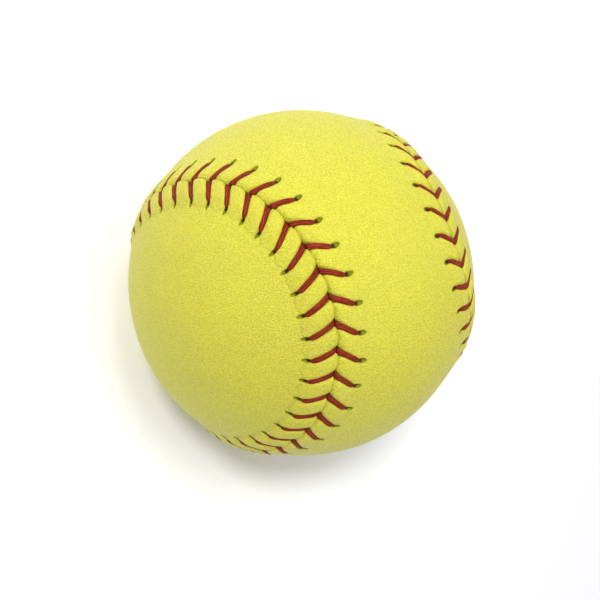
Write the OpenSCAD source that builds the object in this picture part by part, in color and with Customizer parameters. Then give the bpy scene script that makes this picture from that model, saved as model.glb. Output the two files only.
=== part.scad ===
// Softball of the twelve-inch size, built in layers round one centre point.
// A wound core is coated with latex, and two figure-eight leather panels are
// cemented over it and sewn together with one waxed thread and two needles.
// The origin is the centre of the ball. +Z runs through the narrow neck of panel a,
// -Z through the neck of panel b, and the seam weaves four times between them.

/* [Ball] */
// Diameter over the leather, away from the raised seam
ball_d = 97; // [85:1:105]

/* [Inside] */
// Thickness of the yarn winding round the moulded cork-and-rubber core
winding_t = 8; // [2:0.5:20]
// Thickness of the latex coat that holds the winding
latex_t = 0.4; // [0.2:0.1:1]
// Thickness of the cement film under each panel
cement_t = 0.2; // [0.1:0.05:0.4]
// Distance from the seam to the edge of the cement film
cement_setback = 10; // [9:0.5:14]
// Clearance between two layers that lie on each other
layer_gap = 0.05; // [0.02:0.01:0.1]

/* [Leather panels] */
// Thickness of the leather
leather_t = 1.4; // [1:0.1:1.8]
// Thickness of the leather where a stitch presses it down
pressed_t = 1; // [0.8:0.1:1.4]
// Width of the raised band on each side of the seam
welt_w = 11; // [10.5:0.5:14]
// Gap between the two panels where their edges meet
seam_gap = 0.1; // [0.06:0.02:0.3]
// Height over which the leather edge rounds off into the seam
edge_round = 0.5; // [0.3:0.1:0.7]

/* [Seam] */
// Stitches in each panel
stitch_count = 88; // [80:4:96]
// Share by which the seam bends in at the necks and out at the lobes
seam_wave_share = 0.49; // [0.45:0.01:0.52]
// Share by which the seam rises towards the necks
seam_rise_share = 1.17; // [1.1:0.01:1.25]

/* [Stitch holes] */
// Distance from the seam to the middle of a stitch hole
hole_setback = 6.3; // [5.5:0.1:7.5]
// Length of a stitch hole, square to the seam
hole_l = 2; // [1.8:0.1:3]
// Width of a stitch hole, along the seam
hole_w = 1.3; // [1.3:0.1:1.8]

/* [Thread] */
// Width of the thread where it lies flat on the leather
thread_w = 1.4; // [1:0.1:1.8]
// Thickness of the flattened thread
thread_t = 0.8; // [0.5:0.1:1]
// Width of the thread where it is squeezed through a hole or the seam
squeezed_w = 1; // [0.8:0.1:1.1]
// Clearance between the thread and what it lies on or passes through
thread_gap = 0.08; // [0.04:0.01:0.12]
// Room above and below the thread in the tunnel under the leather
run_room = 0.25; // [0.1:0.05:0.4]
// Length of each thread end that is tucked under the leather
tail_l = 3; // [1.5:0.5:3.5]

/* [Hidden] */
$fn = 96;
leather_colour = "#e6df45";
thread_colour = "#a4282c";
cork_colour = "#8a6442";
yarn_colour = "#d9d4c6";
latex_colour = "#e7dcb4";
cement_colour = "#c9a94f";

ball_r = ball_d / 2;
leather_in_r = ball_r - leather_t;

// The seam's length is measured in small steps, so that stitches stand evenly along it.
seam_steps = 720;
tangent_step = 0.05;
function unit(v) = v / norm(v);
function seam_dir(turn) = unit([
    cos(turn) - seam_wave_share * cos(3 * turn),
    sin(turn) + seam_wave_share * sin(3 * turn),
    seam_rise_share * cos(2 * turn)
]);
arc_table = [
    for (
        i = 0, turn = 0, here = seam_dir(0), arc = 0;
        i <= seam_steps;
        i = i + 1,
        turn = i * 360 / seam_steps,
        arc = arc + norm(seam_dir(turn) - here),
        here = seam_dir(turn)
    ) [arc, turn]
];
seam_arc = arc_table[seam_steps][0];
pitch = ball_r * seam_arc / stitch_count;

// A station counts stitches along the seam; whole numbers are the stitch holes,
// and the stitches meet in the seam halfway between two holes.
function station_turn(s) =
    lookup((s - stitch_count * floor(s / stitch_count)) * seam_arc / stitch_count, arc_table);
// A spot at station s, at distance d from the seam towards panel a, and at radius r
function spot(s, d, r) =
    let (
        turn = station_turn(s),
        on_seam = seam_dir(turn),
        along = seam_dir(turn + tangent_step) - seam_dir(turn - tangent_step),
        across = unit(cross(on_seam, along)),
        swing = d / ball_r * 180 / PI
    )
    r * (cos(swing) * on_seam + sin(swing) * across);

// Flat facets stand under the true sphere, so each layer leaves room for the one below.
// The longest facet of a panel spans this share of a stitch's pitch.
function facet_sag(r, span) = r * (1 - cos(span / r * 90 / PI));
longest_facet_share = 1.8;
cell_span = pitch * longest_facet_share;
cement_r = leather_in_r - facet_sag(leather_in_r, cell_span) - layer_gap;
latex_r = cement_r - cement_t - layer_gap;
winding_r = latex_r - latex_t - layer_gap;
core_r = winding_r - winding_t - layer_gap;

// The hidden runs of thread lie in a tunnel between the latex and the raised leather.
run_l = norm([hole_setback, pitch / 2]);
run_r = latex_r + run_room + facet_sag(latex_r, run_l) + thread_t / 2;
tunnel_r = run_r + thread_t / 2 + run_room + facet_sag(leather_in_r, cell_span);
crest_r = tunnel_r + leather_t;
groove_r = tunnel_r + pressed_t;
leg_r = groove_r + thread_gap + thread_t / 2;

// Behind the holes the raised band falls back to the ball by these shares of its height.
shoulder_groove_share = 0.4;
shoulder_crest_share = 0.6;
shoulder_groove_r = ball_r + (groove_r - ball_r) * shoulder_groove_share;
shoulder_crest_r = ball_r + (crest_r - ball_r) * shoulder_crest_share;

// Two threads pass side by side through the slot where a stitch meets the seam,
// and the one from panel b's side always comes first.
slot_w = thread_t + 4 * thread_gap;
slot_l = 2 * squeezed_w + 4 * thread_gap;
thread_offset = squeezed_w / 2 + thread_gap;
hole_start = hole_setback - hole_l / 2;
hole_end = hole_setback + hole_l / 2;
thread_exit = hole_start + thread_gap + thread_t / 2;

// Rows across a panel behind the raised band, as shares of the way to its middle line,
// which ends inside each lobe, at this share of the lobe's angle from the neck
belly_shares = [0.25, 0.5, 0.75, 0.93];
middle_share = 0.72;

// Stitches lean by half a pitch on their way from the hole to the seam.
function leaned(m, d, lean) = m - lean / 2 * (1 - min(d / hole_start, 1));
// Three points a stitch: both sides of its groove, then the crest before the next one
function ridge_row(lean, groove_d, crest_d, half_w, low_r, high_r) = [
    for (m = [0 : stitch_count - 1], side = [-1, 1, 0])
        side == 0
            ? spot(leaned(m + 1 / 2, crest_d, lean), crest_d, high_r)
            : spot(leaned(m, groove_d, lean) + side * half_w / pitch, groove_d, low_r)
];
// Two points a stitch, at both sides of its hole
function hole_row(lean, d, r) = [
    for (m = [0 : stitch_count - 1], side = [-1, 1])
        spot(leaned(m, d, lean) + side * hole_w / 2 / pitch, d, r)
];
function band_edge(m, r) = spot(m, welt_w, r);
// The middle line of panel a lies in the plane x = 0.
function belly_row(share, r) = [
    for (m = [0 : stitch_count - 1])
        let (
            edge = band_edge(m, 1),
            tip = band_edge(stitch_count / 4, 1),
            swing = atan2(edge.y, edge.z),
            drawn_in = (1 - middle_share) * (swing / atan2(tip.y, tip.z)) ^ 2,
            middle = [0, sin(swing * (1 - drawn_in)), cos(swing * (1 - drawn_in))]
        )
        r * unit((1 - share) * edge + share * middle)
];

// Triangles between two rows of point numbers, advancing along both at the same rate
function strip(a, b, i = 0, j = 0) =
    let (m = len(a) - 1, n = len(b) - 1)
    i == m && j == n ? [] :
    j == n || (i < m && (i + 1 / 2) / m <= (j + 1 / 2) / n)
        ? concat([[a[i], b[j], a[i + 1]]], strip(a, b, i + 1, j))
        : concat([[a[i], b[j], b[j + 1]]], strip(a, b, i, j + 1));
function sum_to(list, n) = n == 0 ? 0 : list[n - 1] + sum_to(list, n - 1);
function without_first(list) = [for (p = [1 : len(list) - 1]) list[p]];
// The stitch that faces stitch m across the middle line of panel a
function mirrored(m) = (stitch_count * 3 / 2 - m) % stitch_count;
function wrapped(m) = (m + stitch_count) % stitch_count;

// A figure-eight panel; its grooves lean with the stitches, one way or the other
module cover_panel(lean) {
    rows = concat(
        [
            ridge_row(lean, slot_w / 2, seam_gap / 2, slot_l / 2, tunnel_r, tunnel_r),
            ridge_row(lean, slot_w / 2, seam_gap / 2, slot_l / 2,
                groove_r - edge_round, crest_r - edge_round),
            ridge_row(lean, slot_w / 2 + edge_round, seam_gap / 2 + edge_round,
                slot_l / 2, groove_r, crest_r),
            ridge_row(lean, hole_start, hole_start, hole_w / 2, groove_r, crest_r),
            ridge_row(lean, hole_end, hole_end, hole_w / 2, shoulder_groove_r, shoulder_crest_r)
        ],
        [for (share = concat([0], belly_shares)) belly_row(share, ball_r)],
        [for (k = [len(belly_shares) : -1 : 0])
            belly_row(concat([0], belly_shares)[k], leather_in_r)],
        [
            hole_row(lean, hole_end, shoulder_groove_r - leather_t),
            hole_row(lean, hole_start, tunnel_r)
        ]
    );
    sizes = [for (row = rows) len(row)];
    starts = [for (k = [0 : len(rows)]) sum_to(sizes, k)];
    last = len(rows) - 1;
    hole_top = 3;
    top = hole_top + 2 + len(belly_shares);
    // Numbers of one stitch's points on a row, up to the next stitch's first point
    function run(k, m) =
        let (
            per = sizes[k] / stitch_count,
            first = starts[k] + m * per,
            next = starts[k] + wrapped(m + 1) * per
        )
        concat([for (p = [0 : per - 1]) first + p], [next]);
    bands = [
        for (k = [0 : last], m = [0 : stitch_count - 1])
            let (
                a = run(k, m),
                b = run((k + 1) % (last + 1), m),
                beside_hole = k == hole_top || k == last - 1
            )
            if (k != top)
                each strip(
                    beside_hole ? without_first(a) : a,
                    beside_hole ? without_first(b) : b
                )
    ];
    walls = [
        for (m = [0 : stitch_count - 1])
            let (
                a = run(hole_top, m),
                b = run(hole_top + 1, m),
                c = run(last, m),
                d = run(last - 1, m),
                rim = [a[0], b[0], b[1], a[1]],
                foot = [c[0], d[0], d[1], c[1]]
            )
            for (k = [0 : 3])
                each [
                    [rim[k], rim[(k + 1) % 4], foot[k]],
                    [rim[(k + 1) % 4], foot[(k + 1) % 4], foot[k]]
                ]
    ];
    // The last row closes across the middle line, where mirrored stitches face each other.
    middle = [
        for (m = [-stitch_count / 4 : stitch_count / 4 - 1])
            let (
                near = starts[top] + wrapped(m),
                ahead = starts[top] + wrapped(m + 1),
                near_far = starts[top] + mirrored(m),
                ahead_far = starts[top] + mirrored(m + 1),
                drop = sizes[top]
            )
            each [
                if (near != near_far) [near, near_far, ahead],
                if (ahead != ahead_far) [near_far, ahead_far, ahead],
                if (near != near_far) [near + drop, ahead + drop, near_far + drop],
                if (ahead != ahead_far) [near_far + drop, ahead + drop, ahead_far + drop]
            ]
    ];
    polyhedron([for (row = rows) each row], concat(bands, walls, middle), convexity = 10);
}

// Turns panel a's place into panel b's: half a turn about a level axis through the seam
module to_panel_b() {
    rotate(180, [1, 1, 0]) children();
}

// The wedge of space under panel a, inside a line at distance d from the seam
module panel_wedge(d) {
    reach = 3 * ball_r;
    rim = [for (m = [0 : stitch_count - 1]) spot(m, d, reach)];
    centre = stitch_count;
    sides = [for (m = [0 : stitch_count - 1]) [centre, m, (m + 1) % stitch_count]];
    cap = [
        for (m = [-stitch_count / 4 : stitch_count / 4 - 1])
            let (
                near = wrapped(m),
                ahead = wrapped(m + 1)
            )
            each [
                if (near != mirrored(m)) [near, mirrored(m), ahead],
                if (ahead != mirrored(m + 1)) [mirrored(m), mirrored(m + 1), ahead]
            ]
    ];
    polyhedron(concat(rim, [[0, 0, 0]]), concat(sides, cap), convexity = 10);
}

// A hollow ball between two radii
module layer(outer_r, inner_r) {
    difference() {
        sphere(outer_r);
        sphere(inner_r);
    }
}

module cement_film() {
    intersection() {
        layer(cement_r, cement_r - cement_t);
        panel_wedge(cement_setback);
    }
}

// The thread's route as [place, width, direction of the width]. Side 1 is panel a's
// and side -1 is panel b's. Stitch k leaves hole k + 1 and meets the seam half a pitch
// before it.
function leg_apex(k, side) = k + 1 / 2 + side * thread_offset / pitch;
function leg_places(k, side) =
    let (
        apex = leg_apex(k, side),
        hole = spot(k + 1, side * thread_exit, leg_r),
        over_seam = spot(apex, 0, leg_r),
        along = spot(k + 5 / 4, side * thread_exit, leg_r)
            - spot(k + 3 / 4, side * thread_exit, leg_r),
        aside = side * cross(hole, over_seam - hole)
    )
    [
        [spot(k + 1, side * thread_exit, run_r), squeezed_w, along],
        [hole, squeezed_w, along],
        [spot((apex + k + 1) / 2, side * thread_exit / 2, leg_r), thread_w, aside],
        [over_seam, squeezed_w, aside],
        [spot(apex, 0, run_r), squeezed_w, aside]
    ];
// The needle named by half, 1 or -1, changes sides from one stitch to the next.
function needle_side(k, half) = k % 2 == 0 ? half : -half;
// One needle's half of the sewing, from the last stitch back to the first and its tucked end
function needle_places(half) =
    let (
        last_side = needle_side(0, half),
        legs = [
            for (k = [stitch_count - 1 : -1 : 0])
                each leg_places(k, needle_side(k, half))
        ],
        tail_end = leg_apex(0, last_side) - tail_l / 3 / pitch
    )
    concat(legs, [[
        spot(tail_end, -last_side * tail_l, run_r),
        squeezed_w,
        legs[len(legs) - 1][2]
    ]]);
function backwards(list) = [for (k = [len(list) - 1 : -1 : 0]) list[k]];

// The two halves join in a bar that crosses under the seam.
module seam_thread() {
    along = spot(1 / 4, 0, run_r) - spot(-1 / 4, 0, run_r);
    route = concat(
        backwards(needle_places(1)),
        [[spot(0, 0, run_r), squeezed_w, along]],
        needle_places(-1)
    );
    last = len(route) - 1;
    corners = [[1, 0], [1 / 2, 1], [-1 / 2, 1], [-1, 0], [-1 / 2, -1], [1 / 2, -1]];
    sides = len(corners);
    points = [
        for (k = [0 : last])
            let (
                here = route[k][0],
                back = k == 0 ? route[1][0] - here : here - route[k - 1][0],
                ahead = k == last ? back : route[k + 1][0] - here,
                way = unit(unit(back) + unit(ahead)),
                wide = unit(route[k][2] - (route[k][2] * way) * way),
                thick = cross(way, wide)
            )
            for (corner = corners)
                here + wide * corner.x * route[k][1] / 2 + thick * corner.y * thread_t / 2
    ];
    skin = [
        for (k = [0 : last - 1], i = [0 : sides - 1])
            let (
                a = k * sides + i,
                b = k * sides + (i + 1) % sides
            )
            each [[a, a + sides, b + sides], [a, b + sides, b]]
    ];
    ends = [
        for (i = [1 : sides - 2])
            each [[0, i, i + 1], [last * sides, last * sides + i + 1, last * sides + i]]
    ];
    color(thread_colour) polyhedron(points, concat(skin, ends), convexity = 10);
}

module core() {
    color(cork_colour) sphere(core_r);
}

module yarn_winding() {
    color(yarn_colour) layer(winding_r, core_r + layer_gap);
}

module latex_coat() {
    color(latex_colour) layer(latex_r, latex_r - latex_t);
}

module cover_cement_a() {
    color(cement_colour) cement_film();
}

module cover_cement_b() {
    color(cement_colour) to_panel_b() cement_film();
}

module cover_panel_a() {
    color(leather_colour) cover_panel(1);
}

module cover_panel_b() {
    color(leather_colour) to_panel_b() cover_panel(-1);
}

core();
yarn_winding();
latex_coat();
cover_cement_a();
cover_cement_b();
cover_panel_a();
cover_panel_b();
seam_thread();
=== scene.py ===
"""Dresses the softball: leather cover, sewn seam, inner layers, floor, lamps and camera.

All sizes are in millimetres until a mesh is made, and a mesh is in metres. The ball's
centre is the origin, +Z runs through the neck of panel a and -Z through that of panel b.
Along the seam, places are counted in stitches.
"""

import logging
from dataclasses import dataclass, field
from enum import Enum
from functools import cached_property

import bpy
import numpy as np
from mathutils import Matrix


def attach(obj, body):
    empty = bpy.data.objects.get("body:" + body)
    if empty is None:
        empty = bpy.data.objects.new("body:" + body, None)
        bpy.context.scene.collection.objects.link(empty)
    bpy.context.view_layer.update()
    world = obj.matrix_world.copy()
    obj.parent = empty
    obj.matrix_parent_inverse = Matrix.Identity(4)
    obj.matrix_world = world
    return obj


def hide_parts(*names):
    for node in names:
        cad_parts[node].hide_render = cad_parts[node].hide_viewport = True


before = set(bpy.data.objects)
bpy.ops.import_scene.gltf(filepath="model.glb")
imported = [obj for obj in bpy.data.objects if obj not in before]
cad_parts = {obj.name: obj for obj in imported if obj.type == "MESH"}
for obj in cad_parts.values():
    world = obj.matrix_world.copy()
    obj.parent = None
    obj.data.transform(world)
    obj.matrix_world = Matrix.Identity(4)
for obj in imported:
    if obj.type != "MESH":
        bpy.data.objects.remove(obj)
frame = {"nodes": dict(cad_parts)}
LOG = logging.getLogger("softball")
MM = 0.001
SEAM_MAP = "SeamMap"
# Height that marks a ring of the thread as one of the run under the leather.
RUN = -9.0
# Slack that keeps a whole number from being rounded down.
SLACK = 1e-9

Socket = bpy.types.NodeSocket
Colour = tuple[float, float, float, float]
Limits = tuple[float, float]
WHITE: Colour = (1.0, 1.0, 1.0, 1.0)
# Numbers of the two inputs and the output that hold a Mix node's colours.
MIX_BELOW, MIX_ABOVE, MIX_COLOUR = 6, 7, 2


class Side(Enum):
    """The two leather panels, by the side of the seam that each lies on."""

    A = 1
    B = -1

    @property
    def letter(self) -> str:
        """The panel's letter, as names have it."""
        return self.name.lower()


def smooth_step(x: np.ndarray, start: float, end: float) -> np.ndarray:
    """Rises smoothly from 0 at start to 1 at end, as 3 t^2 - 2 t^3.

    Args:
        x: Values to map.
        start: Where the rise begins.
        end: Where it is complete.

    Returns:
        Values from 0 to 1.
    """
    t = np.clip((x - start) / (end - start), 0.0, 1.0)
    return t * t * (3.0 - 2.0 * t)


def unit(v: np.ndarray) -> np.ndarray:
    """Vectors scaled to length 1 along the last axis."""
    return v / np.linalg.norm(v, axis=-1, keepdims=True)


def linear(red: int, green: int, blue: int) -> Colour:
    """A display colour of 0 to 255 as the linear colour that a shader takes.

    Up to the knee it is c / slope, and past it ((c + lift) / (1 + lift)) ^ power.

    Args:
        red: Display red.
        green: Display green.
        blue: Display blue.

    Returns:
        Linear red, green and blue, and an alpha of 1.
    """
    full, knee, slope, lift, power = 255, 0.04045, 12.92, 0.055, 2.4
    c = np.array([red, green, blue]) / full
    c = np.where(c <= knee, c / slope, ((c + lift) / (1 + lift)) ** power)
    return (float(c[0]), float(c[1]), float(c[2]), 1.0)


@dataclass(frozen=True)
class Seam:
    """The closed seam curve on the ball."""

    ball_r: float = 48.5
    stitches: int = 88
    wave: float = 0.49
    rise: float = 1.17
    steps: int = 7200

    def curve(self, turn: np.ndarray) -> tuple[np.ndarray, np.ndarray]:
        """The unscaled curve (cos t - w cos 3t, sin t + w sin 3t, h cos 2t) and its slope.

        Args:
            turn: Angles round the ball, in radians.

        Returns:
            Points and their derivatives by the angle.
        """
        w, h = self.wave, self.rise
        place = np.stack([
            np.cos(turn) - w * np.cos(3 * turn),
            np.sin(turn) + w * np.sin(3 * turn),
            h * np.cos(2 * turn),
        ], axis=-1)
        slope = np.stack([
            -np.sin(turn) + 3 * w * np.sin(3 * turn),
            np.cos(turn) + 3 * w * np.cos(3 * turn),
            -2 * h * np.sin(2 * turn),
        ], axis=-1)
        return place, slope

    @cached_property
    def way(self) -> tuple[np.ndarray, np.ndarray]:
        """The seam's length as a sum of short chords between even steps of the angle.

        Returns:
            The angles, and the length up to each on a ball of radius 1.
        """
        turn = np.linspace(0.0, 2 * np.pi, self.steps + 1)
        on_ball = unit(self.curve(turn)[0])
        chords = np.linalg.norm(np.diff(on_ball, axis=0), axis=1)
        return turn, np.concatenate([[0.0], np.cumsum(chords)])

    @property
    def pitch(self) -> float:
        """Distance between two stitches along the seam."""
        return float(self.ball_r * self.way[1][-1] / self.stitches)

    def frame_at(self, station: np.ndarray) -> tuple[np.ndarray, np.ndarray, np.ndarray]:
        """Unit directions at a station: out of the ball, along the seam, and towards panel a.

        Args:
            station: Places along the seam, counted in stitches.

        Returns:
            The outward, forward and sideways directions.
        """
        turn, length = self.way
        counts = length / length[-1] * self.stitches
        place, slope = self.curve(np.interp(station % self.stitches, counts, turn))
        outward = unit(place)
        across = unit(np.cross(outward, slope))
        return outward, np.cross(across, outward), across

    def spot(self, station: np.ndarray, distance: np.ndarray, radius: np.ndarray) -> np.ndarray:
        """The point reached from a station by walking a distance square to the seam.

        It is radius (cos s outward + sin s across), where s is distance / ball radius.

        Args:
            station: Places along the seam, counted in stitches.
            distance: Arc length on the ball towards panel a, negative towards panel b.
            radius: Distance of the point from the ball's centre.

        Returns:
            Points, with x, y and z on the last axis.
        """
        outward, _, across = self.frame_at(station)
        swing = (distance / self.ball_r)[..., None]
        return radius[..., None] * (np.cos(swing) * outward + np.sin(swing) * across)


@dataclass(frozen=True)
class StitchPlan:
    """Where each stitch lies. Leather and thread share these columns, which lean as the
    stitches do, so that column m runs under the leg that ends in hole m."""

    seam: Seam
    lean: float = 0.5
    lean_end: float = 5.15
    lean_knee: float = 0.35
    side_by_side: float = 0.045
    parting_reach: float = 3.0
    scallop: Limits = (0.32, 0.8)
    scallop_power: float = 0.8
    scallop_reach: float = 2.0
    edge_gap: float = 0.01
    slot_depth: float = 0.5
    slot_half: float = 0.92
    slot_power: int = 6
    slot_reach: float = 0.9
    hole_sway: float = 0.022
    hole_reach: float = 0.14
    hole_rise: Limits = (0.5, 5.0)
    hole_fade: Limits = (8.0, 12.0)
    hole_drift: tuple[float, float] = (0.2, 0.3)
    drift_waves: int = 7
    drift_crest: tuple[float, float] = (49.5, 44.5)
    apex_sway: float = 0.016
    seed: int = 23

    @cached_property
    def chances(self) -> dict[str, np.ndarray]:
        """Seeded numbers from -1 to 1, one a stitch for each thing that varies.

        Returns:
            The numbers, by the thing's name.
        """
        rng = np.random.default_rng(self.seed)
        names = ("sway_a", "sway_b", "reach_a", "reach_b", "apex", "scallop",
                 "width_a", "width_b", "bow_a", "bow_b")
        return {name: rng.uniform(-1.0, 1.0, self.seam.stitches) for name in names}

    def chance(self, name: str, q: np.ndarray) -> np.ndarray:
        """A seeded number that changes smoothly from one stitch to the next.

        Args:
            name: Which of the varying things.
            q: Leaning columns, counted in stitches.

        Returns:
            Values from -1 to 1, the stitch's own value at each whole number.
        """
        values, count = self.chances[name], self.seam.stitches
        low = np.floor(q + SLACK)
        part = smooth_step(q - low, 0.0, 1.0)
        index = low.astype(int)
        return values[index % count] * (1 - part) + values[(index + 1) % count] * part

    def parting(self, d: np.ndarray) -> np.ndarray:
        """How far a leg moves aside near the seam: side_by_side (1 - d / reach)^2."""
        return self.side_by_side * np.clip(1 - d / self.parting_reach, 0, 1) ** 2

    def beside_leg(self, q: np.ndarray, d: np.ndarray, side: Side) -> np.ndarray:
        """Signed distance along the seam from the nearest leg, up to half a pitch each way."""
        aside = q - side.value * self.parting(d)
        return (aside - np.round(aside)) * self.seam.pitch

    def edge(self, q: np.ndarray) -> np.ndarray:
        """How far the meeting line of the panels bulges towards panel a between stitches.

        It is size |sin(pi q)|^power, and each stitch has its own size.

        Args:
            q: Leaning columns, counted in stitches.

        Returns:
            Distances, 0 at each stitch.
        """
        low, high = self.scallop
        size = low + (high - low) * (0.5 + 0.5 * self.chance("scallop", q))
        return size * np.abs(np.sin(np.pi * q)) ** self.scallop_power

    def hole_shift(self, q: np.ndarray, side: Side) -> np.ndarray:
        """How far out the holes lie: a slow wave round the seam and a chance at each.

        Args:
            q: Leaning columns, counted in stitches.
            side: The panel.

        Returns:
            Distances, negative towards the seam.
        """
        which = 0 if side is Side.A else 1
        turn = 2 * np.pi * self.drift_waves * (q - self.drift_crest[which]) / self.seam.stitches
        own = self.hole_reach * self.chance("reach_" + side.letter, q)
        return self.hole_drift[which] * np.cos(turn) + own

    def place(self, q: np.ndarray, d: np.ndarray, side: Side, radius: np.ndarray) -> np.ndarray:
        """The point of leaning column q at distance d from a panel's edge.

        The station is q less the lean, which fades out at the holes as a soft knee,
        k log(1 + exp((end - d) / k)), and the distance is d plus the bulge of the edge,
        which fades as the bell curve exp(-(d / reach)^2).

        Args:
            q: Leaning columns, counted in stitches.
            d: Distances from the edge of the panel.
            side: The panel.
            radius: Distances from the ball's centre.

        Returns:
            Points on the last axis.
        """
        knee = np.log1p(np.exp((self.lean_end - d) / self.lean_knee)) * self.lean_knee
        beyond = smooth_step(d, *self.hole_rise)
        near_hole = beyond * (1 - smooth_step(d, *self.hole_fade))
        station = (
            q
            - self.lean * knee / self.lean_end
            + self.hole_sway * self.chance("sway_" + side.letter, q) * near_hole
            + self.apex_sway * self.chance("apex", q) * (1 - beyond)
        )
        reach = self.hole_shift(q, side) * near_hole
        bulge = self.edge(q) * np.exp(-((d / self.scallop_reach) ** 2))
        return self.seam.spot(station, side.value * (d + self.edge_gap + reach) + bulge, radius)

    def slot(self, q: np.ndarray, d: np.ndarray, side: Side) -> np.ndarray:
        """The notch where a leg dives: depth exp(-(beside / half)^power) exp(-(d / reach)^2)."""
        across = np.exp(-((self.beside_leg(q, d, side) / self.slot_half) ** self.slot_power))
        return self.slot_depth * across * np.exp(-((d / self.slot_reach) ** 2))


@dataclass(frozen=True)
class Welt:
    """Heights of one panel's raised band over the ball, across the seam.

    The fall and the tail are a drop and the distances over which it comes, and a fade is
    the distances over which a form goes to nothing.
    """

    side: Side
    crest: float
    fall: tuple[float, float, float]
    tail: tuple[float, float, float]
    lip_w: float
    lip_h: float
    lip_power: float = 2.2
    pillow: float = 0.26
    pillow_fade: Limits = (2.8, 6.8)
    groove: float = 0.6
    groove_fade: Limits = (2.4, 6.4)
    groove_half: float = 0.8
    groove_power: int = 6
    pull: float = 0.5
    pull_half: float = 1.3
    pull_power: int = 4
    pull_reach: float = 1.3
    hole_at: float = 6.1
    hole_half_long: float = 1.3
    hole_half_wide: float = 0.58
    hole_deep: float = 0.62
    hole_wall: Limits = (0.62, 1.12)
    dish_deep: float = 0.07
    dish_spread: float = 2.5

    def crest_height(self, d: np.ndarray) -> np.ndarray:
        """Height between two stitches: the crest less two smooth steps, the fall and the tail."""
        height = self.crest - self.fall[0] * smooth_step(d, *self.fall[1:])
        return height - self.tail[0] * smooth_step(d, *self.tail[1:])

    def groove_depth(self, d: np.ndarray) -> np.ndarray:
        """Depth of the groove under the middle of a stitch."""
        return self.groove * (1 - smooth_step(d, *self.groove_fade))

    def floor_height(self, d: np.ndarray) -> np.ndarray:
        """Height under the middle of a stitch."""
        return self.crest_height(d) - self.groove_depth(d)

    def hole_share(self, beside: np.ndarray, d: np.ndarray) -> np.ndarray:
        """Share of the way to a hole's outline: root of (beside / wide)^2 + (ahead / long)^2."""
        ahead = d - self.hole_at
        return np.sqrt((beside / self.hole_half_wide) ** 2 + (ahead / self.hole_half_long) ** 2)

    def height(self, plan: StitchPlan, q: np.ndarray, d: np.ndarray) -> np.ndarray:
        """Height of the leather over the ball, without its rounded edge.

        It is the crest plus a pillow between stitches, less a flat-bottomed groove
        1 / (1 + (beside / half)^power) under each leg, a pull towards the slot, and a dent
        with a shallow dish round it for each hole.

        Args:
            plan: Where the stitches lie.
            q: Leaning columns, counted in stitches.
            d: Distances from the panel's edge.

        Returns:
            Heights in millimetres.
        """
        beside = plan.beside_leg(q, d, self.side)
        far = np.clip(np.abs(beside) / (plan.seam.pitch / 2), 0, 1)
        puff = self.pillow * (1 - (1 - far) ** 2) * (1 - smooth_step(d, *self.pillow_fade))
        groove = self.groove_depth(d) / (1 + (beside / self.groove_half) ** self.groove_power)
        pull = self.pull / (1 + (beside / self.pull_half) ** self.pull_power)
        pull = pull * np.exp(-((d / self.pull_reach) ** 2))
        share = self.hole_share(beside, d)
        dent = self.hole_deep * (1 - smooth_step(share, *self.hole_wall))
        dish = self.dish_deep * np.exp(-share * share / self.dish_spread)
        return self.crest_height(d) + puff - groove - pull - dent - dish

    def lip(self, d: np.ndarray) -> np.ndarray:
        """Drop of the rounded edge: height (1 - d / width)^power."""
        return self.lip_h * np.clip(1 - d / self.lip_w, 0, 1) ** self.lip_power


@dataclass(frozen=True)
class Waves:
    """Gentle unevenness of the whole ball, as a sum of sines in random directions."""

    depth: float = 0.13
    lengths: Limits = (16.0, 38.0)
    count: int = 14
    seed: int = 5

    def at(self, directions: np.ndarray, ball_r: float) -> np.ndarray:
        """Heights from 0 down to -depth at places on the ball.

        They are depth (tanh(sum of the sines / root of their count) - 1) / 2.

        Args:
            directions: Unit directions on the last axis.
            ball_r: The ball's radius.

        Returns:
            Heights in millimetres.
        """
        rng = np.random.default_rng(self.seed)
        heads = unit(rng.normal(size=(self.count, 3)))
        rates = 2 * np.pi * ball_r / rng.uniform(*self.lengths, self.count)
        phases = rng.uniform(0, 2 * np.pi, self.count)
        total = np.sin(directions @ heads.T * rates + phases).sum(axis=-1)
        return self.depth * (np.tanh(total / self.count ** 0.5) - 1) / 2


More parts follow.
